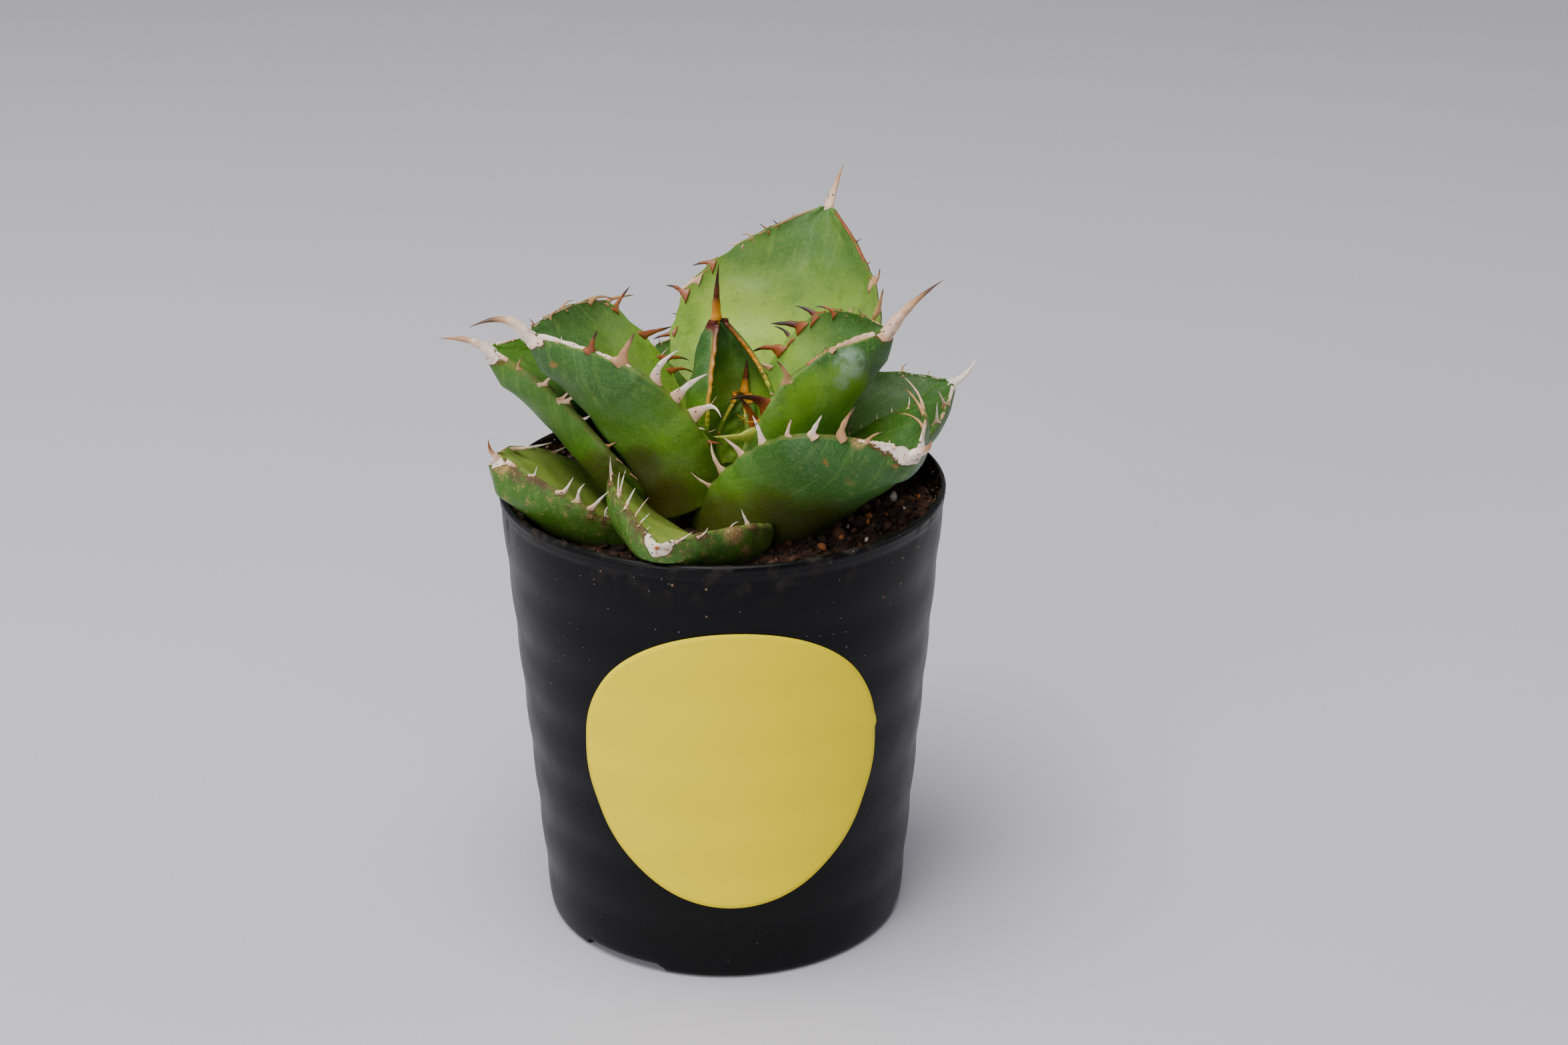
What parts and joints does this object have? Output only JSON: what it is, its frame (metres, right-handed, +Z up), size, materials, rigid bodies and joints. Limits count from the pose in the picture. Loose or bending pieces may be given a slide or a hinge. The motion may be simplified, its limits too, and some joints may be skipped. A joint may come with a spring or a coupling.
{
  "type": "potted agave",
  "caption": "Compact toothed agave rosette in a small round tapered black nursery pot with a plain round yellow label, a potted plant for a shelf or desk.",
  "frame": {"origin": "centre of the circle that the pot's foot stands on, on the ground", "axes": "+Z up along the pot's axis, -Y towards the front with the label, +X to the right seen from the front"},
  "size_m": [0.1099, 0.1009, 0.1484],
  "materials": {
    "pot_plastic": "black injection-moulded polypropylene with a soft sheen and dust",
    "potting_mix": "dark granular potting mix with pumice and bark crumbs",
    "stem": "pale fibrous living stem",
    "label_vinyl": "satin yellow vinyl, bare",
    "leaf_flesh": "living waxy leaf skin, mid green with a thin bloom",
    "young_leaf": "young waxy leaf skin, light green",
    "horn": "dry horny leaf edge, bone to brown, dark at the points"
  },
  "bodies": {
    "root": {"pot": "pot_plastic", "soil": "potting_mix", "stem": "stem", "label": "label_vinyl", "leaf_01": "young_leaf", "leaf_02": "young_leaf", "leaf_03": "leaf_flesh", "leaf_04": "leaf_flesh", "leaf_05": "leaf_flesh", "leaf_06": "leaf_flesh", "leaf_07": "leaf_flesh", "leaf_08": "leaf_flesh", "leaf_09": "leaf_flesh", "leaf_10": "leaf_flesh", "leaf_11": "leaf_flesh", "leaf_12": "leaf_flesh", "leaf_13": "leaf_flesh", "horn_01": "horn", "horn_02": "horn", "horn_03": "horn", "horn_04": "horn", "horn_05": "horn", "horn_06": "horn", "horn_07": "horn", "horn_08": "horn", "horn_09": "horn", "horn_10": "horn", "horn_11": "horn", "horn_12": "horn", "horn_13": "horn"}
  },
  "joints": []
}
